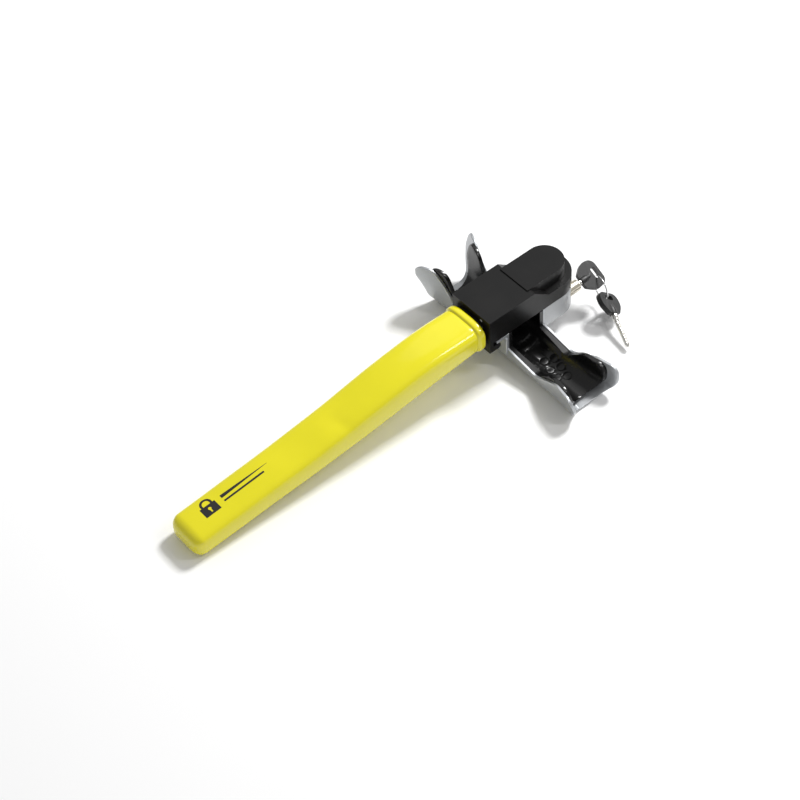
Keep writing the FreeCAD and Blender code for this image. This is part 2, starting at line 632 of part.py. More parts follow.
CRANK = ("lock_y + cam_crank * 0.70711", "lock_z - cam_crank * 0.70711")
cam_disc = rod("x", "5.6", "bolt_x + bolt_radius + 0.5", "cylinder_back - 0.4", LOCK)
crank_pin = rod("x", "crank_radius", "bolt_x + 0.9", "bolt_x + bolt_radius + 1", CRANK)
cam_seat = cone("x", "2.0", "1.0", "bolt_x + bolt_radius + 0.5", "bolt_x + bolt_radius + 1.6", LOCK)
cam_hole = rod("x", "1", "bolt_x + bolt_radius", "cylinder_back", LOCK)
piece(cut(fuse([cam_disc, crank_pin]), [cam_seat, cam_hole]), "lock_cam")
piece(fuse([cone("x", "1.9", "1.0", "bolt_x + bolt_radius + 0.5", "bolt_x + bolt_radius + 1.5", LOCK),
            rod("x", "1", "bolt_x + bolt_radius + 1", "46", LOCK)]), "cam_screw")
bolt_slot = box(("bolt_x + 0.4", "bolt_x + 6"), ("lock_y - 6", "lock_y + 6"),
                (f"{CRANK[1]} - crank_radius - 0.35", f"{CRANK[1]} + crank_radius + 0.35"))
bolt_nose = cone("z", "bolt_radius", "bolt_radius - 1", "bolt_high - 1", "bolt_high", ("bolt_x", "lock_y"))
spring_well = rod("z", "2.6", "bolt_low - 1", "bolt_low + 3", ("bolt_x", "lock_y"))
piece(cut(fuse([rod("z", "bolt_radius", "bolt_low", "bolt_high - 1", ("bolt_x", "lock_y")), bolt_nose]),
          [bolt_slot, spring_well]), "lock_bolt")


def coil(radius, wire, low, high, turns):
    """A closed coil spring that stands on the origin."""
    helix = Part.makeHelix((high - low) / turns, high - low, radius)
    section = Part.Wire([Part.makeCircle(wire, Vector(radius, 0, 0), Vector(0, 1, 0))])
    return Part.Wire(helix.Edges).makePipeShell([section], True, True)


spring = doc.addObject("Part::Feature", "spring")
spring_low, spring_high = number("housing_low + base_wall + 0.4"), number("bolt_low + 2.6")
spring.Shape = coil(1.9, 0.35, spring_low, spring_high, 4)
spring.Placement = Placement(Vector(number("bolt_x"), number("lock_y"), spring_low), Rotation())
piece(spring, "bolt_spring")

# ---------------------------------------------------------------- keys and ring
GRIP_START = "(blade_length + shoulder_length)"
GRIP_END = f"({GRIP_START} + grip_length)"
SLOT_START = f"({GRIP_END} - grip_bar - slot_width)"


def key_blade():
    """A round key blade with slanted bites, its tip at the origin and its head towards +X."""
    tip = cone("x", "blade_radius - 1.4", "blade_radius", "0", "2", ("0", "0"))
    shaft = rod("x", "blade_radius", "2", "blade_length", ("0", "0"))
    shoulder = rod("x", "shoulder_radius", "blade_length", GRIP_START, ("0", "0"))
    tang = rod("x", "tang_radius", "blade_length", f"{GRIP_START} + 12", ("0", "0"))
    bites = [box((f"{4.5 + 3 * place}", f"{6.3 + 3 * place}"), ("-4", "4"),
                 (f"{1.5 + 0.4 * (place % 3)}", "4"))
             for place in range(8)]
    return cut(fuse([tip, shaft, shoulder, tang]), bites)


def key_grip():
    """The moulded key head with its round neck and its slot, bored for the blade's tang."""
    outline = [(GRIP_START, "-grip_neck", "3.5"), (f"{GRIP_START} + 11", "-grip_half", "13"),
               (GRIP_END, "-(grip_half - 2)", "8.5"), (GRIP_END, "grip_half - 2", "8.5"),
               (f"{GRIP_START} + 11", "grip_half", "13"), (GRIP_START, "grip_neck", "3.5")]
    slot = [(SLOT_START, "-slot_half", "2.4"), (f"{SLOT_START} + slot_width", "-slot_half", "2.4"),
            (f"{SLOT_START} + slot_width", "slot_half", "2.4"), (SLOT_START, "slot_half", "2.4")]
    slab = prism("XY_Plane", outline, "-grip_thick / 2", "grip_thick / 2", "grip", holes=[slot])
    neck = fuse([rod("x", "shoulder_radius + 1", GRIP_START, f"{GRIP_START} + 6", ("0", "0")),
                 cone("x", "shoulder_radius + 1", "grip_thick / 2", f"{GRIP_START} + 6", f"{GRIP_START} + 13",
                      ("0", "0"))])
    tang_hole = rod("x", "tang_radius", f"{GRIP_START} - 1", f"{GRIP_START} + 12", ("0", "0"))
    return cut(fuse([slab, neck]), [tang_hole])


def place_key(blade_label, grip_label, spot, rotation):
    for shape, label in ((key_blade(), blade_label), (key_grip(), grip_label)):
        shape.Placement = Placement(spot, rotation)
        piece(shape, label)


KEY_ROLL = 28.0
place_key("key_blade", "key_grip", Vector(number("key_tip"), number("lock_y"), number("lock_z")),
          Rotation(Vector(1, 0, 0), KEY_ROLL))

RING_SPOT = Vector(103.48, -29.84, -3.7)
RING_HEADING = 103.36
ring = doc.addObject("Part::Torus", "ring")
bind(ring, "Radius1", "ring_radius")
bind(ring, "Radius2", "wire_radius")
ring_turn = Rotation(Vector(0, 0, 1), -RING_HEADING).multiply(Rotation(Vector(1, 0, 0), 90))
ring.Placement = Placement(RING_SPOT, ring_turn)
piece(ring, "key_ring")

SPARE_HANG = math.radians(-17.9)
SPARE_LEAN = Vector(21.9, 55.7, 16.2).normalize()
SPARE_ROLL = 42.0
spare_spoke = Vector(math.cos(SPARE_HANG), math.sin(SPARE_HANG), 0) * number("ring_radius")
spare_hole = ring.Placement.multVec(spare_spoke)
spare_tip = spare_hole - SPARE_LEAN * number(f"{SLOT_START} + slot_width / 2")
level = Vector(0, 0, 1).cross(SPARE_LEAN).normalize()
spare_turn = Rotation(SPARE_LEAN, level, SPARE_LEAN.cross(level), "XZY")
place_key("spare_blade", "spare_grip", spare_tip, spare_turn.multiply(Rotation(Vector(1, 0, 0), SPARE_ROLL)))

# ---------------------------------------------------------------- check and write
doc.recompute()
for thing in doc.Objects:
    if "Invalid" in thing.State or "Error" in thing.State:
        raise RuntimeError(f"{thing.Name} ({thing.Label}) failed: {thing.State}")
os.makedirs("parts", exist_ok=True)
for thing in PIECES:
    shape = thing.Shape
    if shape.isNull() or not shape.isValid():
        raise RuntimeError(f"{thing.Label} has no valid shape")
    print(f"{thing.Label}: {len(shape.Solids)} solid(s), {shape.Volume / 1000:.2f} cm3")
    shape.exportStep(f"parts/{thing.Label}.step")
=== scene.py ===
"""Looks of a rotary-arm steering wheel lock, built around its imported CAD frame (metres)."""
import json
import logging
import math
from dataclasses import dataclass
from enum import Enum
from typing import Any, Callable, Sequence

import bmesh
import bpy
from mathutils import Matrix, Vector


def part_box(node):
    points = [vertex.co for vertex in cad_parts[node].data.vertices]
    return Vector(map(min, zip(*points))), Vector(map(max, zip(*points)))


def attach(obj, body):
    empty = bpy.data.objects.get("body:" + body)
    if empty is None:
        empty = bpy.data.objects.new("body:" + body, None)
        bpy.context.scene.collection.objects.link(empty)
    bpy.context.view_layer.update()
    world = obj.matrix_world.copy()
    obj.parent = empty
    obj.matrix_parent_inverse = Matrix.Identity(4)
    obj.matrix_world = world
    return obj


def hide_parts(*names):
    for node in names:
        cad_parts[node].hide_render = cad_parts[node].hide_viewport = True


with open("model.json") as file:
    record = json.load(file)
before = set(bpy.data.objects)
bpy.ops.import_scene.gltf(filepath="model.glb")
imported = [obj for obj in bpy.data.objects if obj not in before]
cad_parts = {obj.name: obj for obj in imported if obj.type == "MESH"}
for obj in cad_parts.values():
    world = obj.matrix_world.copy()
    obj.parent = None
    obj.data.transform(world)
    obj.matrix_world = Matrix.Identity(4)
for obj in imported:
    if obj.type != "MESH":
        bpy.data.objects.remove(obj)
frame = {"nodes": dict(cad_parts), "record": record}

LOG = logging.getLogger("steering_lock")
MM = 0.001
Point = tuple[float, float, float]


class Body(str, Enum):
    """The moving groups that carry added pieces."""

    CRADLE = "cradle"
    ARM = "arm"


# ---------------------------------------------------------------- shader expressions
class Socket:
    """A shader output that can be used in plain arithmetic."""

    def __init__(self, graph: "Graph", output: Any) -> None:
        """Keep the graph and the node output.

        Args:
            graph: graph that the output belongs to.
            output: the node output.
        """
        self.graph = graph
        self.output = output

    def math(self, operation: str, first: Any, second: Any = 0.0) -> "Socket":
        """Add one Math node.

        Args:
            operation: the node's operation.
            first: first value or socket.
            second: second value or socket.

        Returns:
            The result.
        """
        return self.graph.node("ShaderNodeMath", {"operation": operation}, {0: first, 1: second})

    def __add__(self, other: Any) -> "Socket":
        """Sum."""
        return self.math("ADD", self, other)

    def __radd__(self, other: Any) -> "Socket":
        """Sum with the socket on the right."""
        return self.math("ADD", other, self)

    def __sub__(self, other: Any) -> "Socket":
        """Difference."""
        return self.math("SUBTRACT", self, other)

    def __rsub__(self, other: Any) -> "Socket":
        """Difference with the socket on the right."""
        return self.math("SUBTRACT", other, self)

    def __mul__(self, other: Any) -> "Socket":
        """Product."""
        return self.math("MULTIPLY", self, other)

    def __rmul__(self, other: Any) -> "Socket":
        """Product with the socket on the right."""
        return self.math("MULTIPLY", other, self)

    def __truediv__(self, other: Any) -> "Socket":
        """Quotient."""
        return self.math("DIVIDE", self, other)

    def __rtruediv__(self, other: Any) -> "Socket":
        """Quotient with the socket on the right."""
        return self.math("DIVIDE", other, self)

    def __pow__(self, other: Any) -> "Socket":
        """Power."""
        return self.math("POWER", self, other)

    def __lt__(self, other: Any) -> "Socket":
        """1 where this is less, else 0."""
        return self.math("LESS_THAN", self, other)

    def __gt__(self, other: Any) -> "Socket":
        """1 where this is greater, else 0."""
        return self.math("GREATER_THAN", self, other)

    def __abs__(self) -> "Socket":
        """Size without sign."""
        return self.math("ABSOLUTE", self)

    def larger(self, other: Any) -> "Socket":
        """The larger of two values."""
        return self.math("MAXIMUM", self, other)

    def step(self, low: float, high: float) -> "Socket":
        """A smooth step from 0 at low to 1 at high."""
        settings = {"interpolation_type": "SMOOTHSTEP"}
        inputs = {"Value": self, "From Min": low, "From Max": high}
        return self.graph.node("ShaderNodeMapRange", settings, inputs)


class Graph:
    """The node tree of one material, with its Principled shader."""

    def __init__(self, name: str) -> None:
        """Make an empty material.

        Args:
            name: name of the material.
        """
        self.material = bpy.data.materials.new(name)
        self.material.use_nodes = True
        self.tree = self.material.node_tree
        self.shader = self.tree.nodes["Principled BSDF"]

    def node(self, kind: str, settings: dict[str, Any] | None = None, inputs: dict[Any, Any] | None = None,
             output: str | int = 0) -> Socket:
        """Add a node, set it up and feed its sockets.

        Args:
            kind: the node's type.
            settings: properties of the node.
            inputs: values or sockets by input name or number.
            output: name or number of the output to use.

        Returns:
            The chosen output.
        """
        made = self.tree.nodes.new(kind)
        for name, value in (settings or {}).items():
            setattr(made, name, value)
        for name, value in (inputs or {}).items():
            self.feed(made.inputs[name], value)
        return Socket(self, made.outputs[output])

    def feed(self, socket: Any, value: Any) -> None:
        """Set a socket's value or link it."""
        if isinstance(value, Socket):
            self.tree.links.new(value.output, socket)
        else:
            socket.default_value = value

    def shade(self, **inputs: Any) -> None:
        """Feed the Principled shader; underscores stand for spaces in the names of its sockets."""
        for name, value in inputs.items():
            self.feed(self.shader.inputs[name.replace("_", " ")], value)

    def place(self) -> Socket:
        """Position on the piece, in metres."""
        return self.node("ShaderNodeTexCoord", output="Object")

    def split(self, vector: Socket) -> list[Socket]:
        """The three numbers of a vector."""
        split = self.node("ShaderNodeSeparateXYZ", inputs={0: vector}).output.node
        return [Socket(self, split.outputs[index]) for index in range(3)]

    def scaled(self, vector: Socket, factors: Point) -> Socket:
        """A vector with each part multiplied."""
        return self.node("ShaderNodeVectorMath", {"operation": "MULTIPLY"}, {0: vector, 1: factors})

    def noise(self, scale: float, detail: float = 3.0, roughness: float = 0.5,
              vector: Socket | None = None) -> Socket:
        """Noise from 0 to 1.

        Args:
            scale: waves to the metre.
            detail: number of finer layers.
            roughness: weight of the finer layers.
            vector: where to sample, the position when left out.

        Returns:
            The noise.
        """
        inputs = {"Vector": vector or self.place(), "Scale": scale, "Detail": detail, "Roughness": roughness}
        return self.node("ShaderNodeTexNoise", inputs=inputs)

    def mix(self, factor: Any, first: Any, second: Any) -> Socket:
        """Two colours mixed by a factor."""
        mixed = self.tree.nodes.new("ShaderNodeMix")
        mixed.data_type = "RGBA"
        for name, value in (("Factor", factor), ("A", first), ("B", second)):
            kind = "VALUE" if name == "Factor" else "RGBA"
            sockets = [entry for entry in mixed.inputs if entry.name == name and entry.type == kind]
            self.feed(sockets[0], value)
        return Socket(self, [entry for entry in mixed.outputs if entry.type == "RGBA"][0])

    def bump(self, height: Socket, depth: float, strength: float = 1.0) -> Socket:
        """A surface normal from a height, with the depth of a full step in metres."""
        inputs = {"Height": height, "Distance": depth, "Strength": strength}
        return self.node("ShaderNodeBump", inputs=inputs, output="Normal")


def grey(level: float, warm: float = 0.0) -> tuple[float, float, float, float]:
    """A near-neutral colour."""
    return (level * (1 + warm), level, level * (1 - warm), 1.0)


# ---------------------------------------------------------------- finishes
@dataclass(frozen=True)
class Paint:
    """Sprayed paint on metal: fine orange peel, soft clouding, fine flakes and scuffed roughness."""

    slot: str
    colour: tuple[float, float, float, float]
    tint: tuple[float, float, float, float]
    roughness: float
    metal: float = 0.0
    flake: float = 0.0
    peel: float = 0.00003
    coat: float = 0.0
    gloss: float = 0.5

    def material(self) -> bpy.types.Material:
        """Build the material."""
        graph = Graph(self.slot)
        cloud, peel, grain = graph.noise(28.0, 4.0), graph.noise(900.0, 2.0), graph.noise(5200.0, 1.0)
        scuffs = graph.noise(60.0, 6.0, 0.7, graph.scaled(graph.place(), (1.0, 9.0, 4.0))).step(0.62, 0.78)
        base = graph.mix(cloud.step(0.3, 0.7), self.colour, self.tint)
        sparkle = graph.mix(grain.step(0.55, 0.75) * self.flake, base, grey(0.95))
        graph.shade(Base_Color=sparkle, Metallic=self.metal, Coat_Weight=self.coat, Coat_Roughness=0.12,
                    Specular_IOR_Level=self.gloss,
                    Roughness=cloud * 0.10 + scuffs * 0.07 + (self.roughness - 0.05),
                    Normal=graph.bump(peel + grain * 0.25, self.peel))
        return graph.material


@dataclass(frozen=True)
class Rubber:
    """Moulded glossy black rubber with faint flow marks."""

    slot: str
    colour: tuple[float, float, float, float]
    roughness: float

    def material(self) -> bpy.types.Material:
        """Build the material."""
        graph = Graph(self.slot)
        flow = graph.noise(45.0, 5.0, 0.6, graph.scaled(graph.place(), (2.5, 0.8, 1.0)))
        grain = graph.noise(2600.0, 2.0)
        dust = graph.noise(240.0, 5.0, 0.75).step(0.60, 0.85)
        graph.shade(Base_Color=graph.mix(dust * 0.14, self.colour, grey(0.05, 0.04)), Specular_IOR_Level=0.45,
                    Roughness=flow * 0.16 + dust * 0.18 + (self.roughness - 0.08),
                    Normal=graph.bump(grain * 0.20 + flow * 0.4, 0.00004))
        return graph.material


@dataclass(frozen=True)
class Vinyl:
    """Dipped glossy vinyl with a generic printed padlock sign and two bars."""

    slot: str
    colour: tuple[float, float, float, float]
    deep: tuple[float, float, float, float]
    sign_at: tuple[float, float]

    def sign(self, graph: Graph) -> Socket:
        """The printed sign as a mask.

        Args:
            graph: graph to build in.

        Returns:
            1 on the ink, 0 elsewhere.
        """
        x, y, _ = graph.split(graph.place())
        up = graph.split(graph.node("ShaderNodeNewGeometry", output="Normal"))[2]
        u, v = (x - self.sign_at[0]) / MM, (y - self.sign_at[1]) / MM
        body = (abs(u) < 8.6) * (abs(v + 3.0) < 6.0)
        reach = (u * u + (v - 4.6) * (v - 4.6)) ** 0.5
        bow = (reach < 6.4) * (reach > 3.9) * (v > 4.6)
        legs = (abs(abs(u) - 5.15) < 1.25) * (abs(v - 3.6) < 1.4)
        hole = (((u * u + (v + 1.8) * (v + 1.8)) ** 0.5) < 1.7).larger((abs(u) < 0.75) * (abs(v + 4.0) < 2.4))
        along = (u > 15.0) * (u < 70.0)
        bars = along * (abs(v - 1.4) < (1.0 - (u - 15.0) / 60.0) * 2.0)
        under = along * (u < 62.0) * (abs(v + 4.6) < 1.1)
        ink = (body * (1.0 - hole)).larger(bow).larger(legs).larger(bars).larger(under)
        return ink * (up > 0.4)

    def material(self) -> bpy.types.Material:
        """Build the material."""
        graph = Graph(self.slot)
        cloud, ripple, grain = graph.noise(14.0, 3.0), graph.noise(70.0, 2.0), graph.noise(1500.0, 2.0)
        marks = graph.noise(110.0, 6.0, 0.75).step(0.66, 0.84)
        ink = self.sign(graph)
        skin = graph.mix(cloud.step(0.3, 0.7), self.colour, self.deep)
        worn = graph.mix(marks * 0.16, skin, (0.50, 0.42, 0.02, 1.0))
        graph.shade(Base_Color=graph.mix(ink, worn, grey(0.012)), Coat_Weight=0.4, Coat_Roughness=0.04,
                    Specular_IOR_Level=0.5, Roughness=cloud * 0.06 + marks * 0.12 + ink * 0.12 + 0.17,
                    Normal=graph.bump(ripple + grain * 0.03, 0.00016))
        return graph.material


@dataclass(frozen=True)
class BareMetal:
    """Machined or plated metal with fine tool lines."""

    slot: str
    colour: tuple[float, float, float, float]
    shade_colour: tuple[float, float, float, float]
    roughness: float
    lines: Point = (1.0, 14.0, 14.0)

    def material(self) -> bpy.types.Material:
        """Build the material."""
        graph = Graph(self.slot)
        drawn = graph.noise(420.0, 4.0, 0.6, graph.scaled(graph.place(), self.lines))
        stain = graph.noise(160.0, 4.0).step(0.45, 0.75)
        graph.shade(Base_Color=graph.mix(stain * 0.7, self.colour, self.shade_colour), Metallic=1.0,
                    Roughness=drawn * 0.14 + stain * 0.06 + (self.roughness - 0.07),
                    Normal=graph.bump(drawn, 0.00001))
        return graph.material


@dataclass(frozen=True)
class MouldedPlastic:
    """Black moulded plastic with a spark-eroded grain and rubbed spots."""

    slot: str
    colour: tuple[float, float, float, float]
    roughness: float

    def material(self) -> bpy.types.Material:
        """Build the material."""
        graph = Graph(self.slot)
        grain, rubbed = graph.noise(3800.0, 2.0), graph.noise(130.0, 4.0).step(0.5, 0.75)
        graph.shade(Base_Color=graph.mix(rubbed * 0.5, self.colour, grey(0.03)),
                    Roughness=grain * 0.12 - rubbed * 0.10 + self.roughness,
                    Normal=graph.bump(grain, 0.00003))
        return graph.material


FINISHES = (
    Paint("cradle_paint", grey(0.46, -0.03), grey(0.40, -0.04), 0.34, metal=0.55, flake=0.25, coat=0.25),
    Paint("housing_paint", grey(0.45, -0.02), grey(0.39, -0.03), 0.38, metal=0.5, flake=0.2, peel=0.00006,
          coat=0.2),
    Paint("head_paint", grey(0.004), grey(0.006, 0.04), 0.33, peel=0.00003, gloss=0.24),
    Paint("cover_paint", grey(0.004), grey(0.006, 0.03), 0.31, peel=0.00003, gloss=0.24),
    Paint("bar_paint", grey(0.010), grey(0.014), 0.45),
    Rubber("liner_rubber", grey(0.005), 0.24),
    Vinyl("sleeve_vinyl", (0.80, 0.72, 0.007, 1.0), (0.75, 0.68, 0.005, 1.0), (-374 * MM, 3.5 * MM)),
    BareMetal("plated_steel", grey(0.58), grey(0.42, 0.02), 0.32),
    BareMetal("spring_steel", grey(0.36), grey(0.25, 0.03), 0.30),
    BareMetal("bronze", (0.52, 0.34, 0.17, 1.0), (0.38, 0.23, 0.11, 1.0), 0.42),
    BareMetal("brass", (0.78, 0.58, 0.26, 1.0), (0.60, 0.42, 0.18, 1.0), 0.30),
    BareMetal("nickel", (0.74, 0.69, 0.58, 1.0), (0.62, 0.55, 0.42, 1.0), 0.24),
    BareMetal("key_nickel", (0.80, 0.79, 0.75, 1.0), (0.66, 0.64, 0.58, 1.0), 0.17),
    BareMetal("ring_wire", grey(0.80), grey(0.68), 0.14),
    MouldedPlastic("key_plastic", grey(0.007), 0.38),
)


class Wardrobe:
    """Holds the finished materials and dresses pieces with them."""

    def __init__(self) -> None:
        """Build every finish once, and read which slot each node takes."""
        self.materials = {finish.slot: finish.material() for finish in FINISHES}
        self.node_slots = {entry["node"]: entry["material_slot"] for entry in frame["record"]["subparts"]}

    def wear(self, piece: bpy.types.Object, slot: str) -> None:
        """Give a piece its finish in every material slot it has."""
        if not piece.material_slots:
            piece.data.materials.append(self.materials[slot])
        for entry in piece.material_slots:
            entry.material = self.materials[slot]

    def node(self, name: str, edge: float = 0.0, segments: int = 3, angle: float = 38.0) -> bpy.types.Object:
        """Dress a node of the frame and soften its edges.

        Args:
            name: the node.
            edge: radius of the rounded edges in millimetres, 0 for none.
            segments: steps across a rounded edge.
            angle: sharpest angle in degrees that is left alone.

        Returns:
            The node's object.
        """
        piece = frame["nodes"][name]
        self.wear(piece, self.node_slots[name])
        if edge:
            weld = piece.modifiers.new("weld", "WELD")
            weld.merge_threshold = 0.005 * MM
            soften = piece.modifiers.new("soft_edges", "BEVEL")
            soften.width, soften.segments = edge * MM, segments
            soften.limit_method, soften.angle_limit = "ANGLE", math.radians(angle)
            soften.use_clamp_overlap, soften.miter_outer = True, "MITER_ARC"
            soften.harden_normals = True
        LOG.info("node %s wears %s", name, self.node_slots[name])
        return piece

    def piece(self, name: str, mesh: bpy.types.Mesh, slot: str, body: Body) -> bpy.types.Object:
        """Make a new piece from a mesh.

        Args:
            name: name of the piece.
            mesh: its shape.
            slot: slot that its finish comes from.
            body: moving group that it rides on.

        Returns:
            The piece.
        """
        made = bpy.data.objects.new(name, mesh)
        bpy.context.scene.collection.objects.link(made)
        self.wear(made, slot)
        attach(made, body.value)
        LOG.info("piece %s rides on %s", name, body.value)
        return made


# ---------------------------------------------------------------- mesh building
def smooth_path(points: Sequence[Sequence[float]], place: float) -> list[float]:
    """Values between rows of a table, with a monotone cubic curve through them.

    Args:
        points: rows whose first number is the place, in rising order.
        place: where to read.

    Returns:
        The other numbers of the row at that place.
    """
    last = len(points) - 1
    index = min(max(sum(1 for row in points if row[0] <= place) - 1, 0), last - 1)
    low, high = points[index], points[index + 1]
    span = high[0] - low[0]
    share = min(max((place - low[0]) / span, 0.0), 1.0)
    values = []
    for column in range(1, len(low)):
        def slope(at: int) -> float:
            """Slope of the curve at a row."""
            steps = [(points[k + 1][column] - points[k][column]) / (points[k + 1][0] - points[k][0])
                     for k in (at - 1, at) if 0 <= k < last]
            if len(steps) == 2 and steps[0] * steps[1] <= 0:
                return 0.0
            return sum(steps) / len(steps)
        start, end = low[column], high[column]
        square, cube = share * share, share ** 3
        values.append((2 * cube - 3 * square + 1) * start + (cube - 2 * square + share) * span * slope(index)
                      + (3 * square - 2 * cube) * end + (cube - square) * span * slope(index + 1))
    return values


def skin(name: str, rings: Sequence[Sequence[Point]]) -> bpy.types.Mesh:
    """A watertight mesh through rings of points, with its ends capped.

    Args:
        name: name of the mesh.
        rings: rings of as many points each, in metres.

    Returns:
        The mesh.
    """
    build = bmesh.new()
    rows = [[build.verts.new(point) for point in ring] for ring in rings]
    count = len(rows[0])
    for low, high in zip(rows, rows[1:]):
        for index in range(count):
            following = (index + 1) % count
            build.faces.new((low[index], low[following], high[following], high[index]))
    build.faces.new(rows[0][::-1])
    build.faces.new(rows[-1])
    bmesh.ops.recalc_face_normals(build, faces=build.faces)
    for face in build.faces:
        face.smooth = len(face.verts) == 4
    mesh = bpy.data.meshes.new(name)
    build.to_mesh(mesh)
    build.free()
    return mesh


def swept(name: str, path: Sequence[Vector], radii: Callable[[float], tuple[float, float]], sides: int = 12,
          upward: Vector = Vector((0, 0, 1))) -> bpy.types.Mesh:
    """A round bar along a path.

    Args:
        name: name of the mesh.
        path: middle line in metres.
        radii: from the share of the path run to the two half widths of the section.
        sides: points round the section.
        upward: direction of the section's second half width.

    Returns:
        The mesh.
    """
    rings = []
    for index, spot in enumerate(path):
        ahead = (path[min(index + 1, len(path) - 1)] - path[max(index - 1, 0)]).normalized()
        across = ahead.cross(upward).normalized()
        above = across.cross(ahead)
        wide, high = radii(index / (len(path) - 1))
        rings.append([tuple(spot + across * (wide * math.cos(turn)) + above * (high * math.sin(turn)))
                      for turn in (2 * math.pi * step / sides for step in range(sides))])
    return skin(name, rings)


# ---------------------------------------------------------------- sub-assemblies
@dataclass
class Handle:
    """The arm's tube and the vinyl sleeve over it."""

    wardrobe: Wardrobe
    stations: tuple[tuple[float, float, float, float], ...] = (
        (-408.8, 10.8, -15.6, 22.4), (-360.0, 14.9, -12.8, 22.7), (-315.0, 18.6, -10.0, 23.0),
        (-270.0, 22.6, -6.9, 23.4), (-230.0, 27.8, -4.0, 23.8), (-190.0, 34.6, -0.4, 24.3),
        (-150.0, 40.8, 3.8, 24.7), (-115.0, 44.6, 7.6, 25.0), (-85.0, 45.6, 10.2, 25.2),
        (-52.6, 45.4, 12.6, 25.2))
    squareness: tuple[tuple[float, float], ...] = ((-408.8, 4.2), (-180.0, 4.2), (-80.0, 3.5), (-52.6, 3.2))
    mouth: float = -52.6
    bead_length: float = 8.0
    bead_height: float = 1.75
    end_round: float = 11.0
    core: tuple[float, float, float] = (17.6, 28.9, 12.9)
    sides: int = 128
    end_steps: int = 14
    run_steps: int = 150
    collar_steps: int = 34
    collar_run: float = 3.5
    bore_gap: float = 1.0
    bore_squareness: float = 9.0

    def outline(self, middle: float, half: float, height: float, power: float) -> list[tuple[float, float]]:
        """A soft-cornered rectangle in Y and Z.

        Args:
            middle: height of its middle.
            half: half width along Y.
            height: half height along Z.
            power: squareness of its corners.

        Returns:
            Points as pairs of Y and Z.
        """
        points = []
        for step in range(self.sides):
            turn = 2 * math.pi * step / self.sides
            across, above = math.cos(turn), math.sin(turn)
            points.append((half * math.copysign(abs(across) ** (2 / power), across),
                           middle + height * math.copysign(abs(above) ** (2 / power), above)))
        return points

    def bead(self, x: float) -> float:
        """How far the sleeve stands out at a place near its mouth, in millimetres."""
        back = self.mouth - x
        if back < self.bead_length:
            share = abs(2 * back / self.bead_length - 1)
            return self.bead_height * (1 - share ** 3.2) ** 0.45
        groove = (back - self.bead_length - 0.9) / 0.9
        return -0.45 * math.exp(-groove * groove)

    def dent(self, x: float, y: float, above: bool) -> float:
        """Small unevenness of the dipped skin, with a crease where the arm bends."""
        lumps = 0.16 * math.sin(x / 17.0 + 1.3) * math.sin(y / 9.0 + x / 61.0)
        if not above:
            return lumps
        crease = 0.75 * math.exp(-((x + 229 + y * 0.25) / 7.0) ** 2) * math.exp(-((y + 13) / 11.0) ** 2)
        swell = 0.45 * math.exp(-((x + 246) / 13.0) ** 2) * math.exp(-((y + 8) / 15.0) ** 2)
        return lumps - crease + swell

    def ring(self, x: float, grow: float, sink: float) -> list[Point]:
        """One ring of the skin.

        Args:
            x: place along the arm in millimetres.
            grow: how far it stands out.
            sink: how far it is drawn in for the rounded end.

        Returns:
            Points in metres.
        """
        top, bottom, half = smooth_path(self.stations, x)
        middle, height = (top + bottom) / 2, (top - bottom) / 2 + grow - sink
        power, = smooth_path(self.squareness, x)
        points = []
        for y, z in self.outline(middle, half + grow - sink, height, power):
            uneven = self.dent(x, y, z > middle) if sink == 0 and grow == 0 else 0.0
            away = math.hypot(y, z - middle)
            reach = 1 + uneven / away
            points.append((x * MM, y * reach * MM, (middle + (z - middle) * reach) * MM))
        return points

    def sleeve(self) -> bpy.types.Object:
        """The yellow sleeve: rounded end, bent run, grooved bead and a mouth with a wall."""
        start = self.stations[0][0]
        ends = []
        for step in range(self.end_steps + 1):
            turn = math.pi / 2 * step / self.end_steps
            ends.append(self.ring(start + self.end_round * (1 - math.cos(turn)), 0.0,
                                  self.end_round * (1 - math.sin(turn)) + 1e-6))
        run_start, run_end = start + self.end_round, self.mouth - self.bead_length - self.collar_run
        run = [self.ring(run_start + (run_end - run_start) * step / self.run_steps, 0.0, 0.0)
               for step in range(1, self.run_steps + 1)]
        collar = []
        for step in range(1, self.collar_steps + 1):
            x = run_end + (self.mouth - 0.02 - run_end) * (1 - (1 - step / self.collar_steps) ** 1.25)
            collar.append(self.ring(x, self.bead(x), 0.0))
        half, middle, height = self.core
        rim = []
        for depth, inset in ((0.0, 1.3), (0.0, 3.2), (-0.3, 4.6)):
            rim.append(self.ring(self.mouth + depth, 0.0, inset))
        for depth in (-0.9, -3.0, -12.0):
            rim.append([((self.mouth + depth) * MM, y * MM, z * MM)
                        for y, z in self.outline(middle, half + self.bore_gap, height + self.bore_gap,
                                                 self.bore_squareness)])
        made = self.wardrobe.piece("handle_sleeve", skin("handle_sleeve", ends + run + collar + rim),
                                   "sleeve_vinyl", Body.ARM)
        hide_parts("arm_sleeve")
        return made

    def build(self) -> None:
        """Make the sleeve and dress the tube in it."""
        self.sleeve()
        self.wardrobe.node("arm_bar", 0.8)
        self.wardrobe.node("arm_pins")


